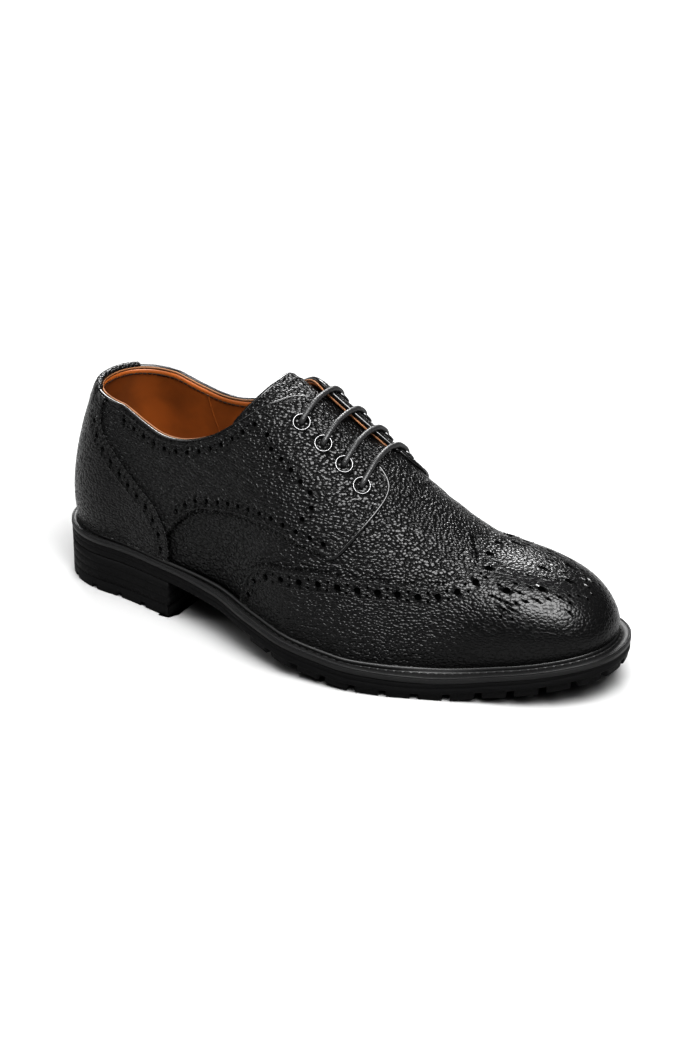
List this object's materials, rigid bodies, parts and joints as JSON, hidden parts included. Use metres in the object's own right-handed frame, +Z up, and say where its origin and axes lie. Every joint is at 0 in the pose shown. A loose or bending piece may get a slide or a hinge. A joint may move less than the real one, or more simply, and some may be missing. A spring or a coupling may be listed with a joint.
{
  "type": "brogue shoe",
  "caption": "Wing-tip derby brogue for the right foot, leather upper laced over a tongue, on a lugged rubber sole with a stacked heel.",
  "frame": {"origin": "on the floor, at the middle of the heel's ground face", "axes": "+X from heel to toe, -Y towards the outer side of the foot, +Z up"},
  "size_m": [0.3039, 0.1181, 0.1296],
  "materials": {
    "upper_leather": "pebbled black leather, waxed gloss",
    "lining_leather": "smooth tan leather",
    "welt_leather": "black welt leather, stitched, satin",
    "sole_rubber": "matte black rubber",
    "eyelet_enamel": "black enamelled metal",
    "waxed_lace": "round waxed cotton lace"
  },
  "bodies": {
    "root": {"upper": "upper_leather", "wing_cap": "upper_leather", "quarter_lateral": "upper_leather", "quarter_medial": "upper_leather", "heel_counter": "upper_leather", "tongue": "upper_leather", "insole": "lining_leather", "welt": "welt_leather", "outsole": "sole_rubber", "heel_stack": "sole_rubber", "heel_lift": "sole_rubber", "eyelet_lateral_1": "eyelet_enamel", "eyelet_lateral_2": "eyelet_enamel", "eyelet_lateral_3": "eyelet_enamel", "eyelet_lateral_4": "eyelet_enamel", "eyelet_medial_1": "eyelet_enamel", "eyelet_medial_2": "eyelet_enamel", "eyelet_medial_3": "eyelet_enamel", "eyelet_medial_4": "eyelet_enamel", "lace_bar_1": "waxed_lace", "lace_bar_2": "waxed_lace", "lace_bar_3": "waxed_lace", "lace_bar_4": "waxed_lace"}
  },
  "joints": []
}
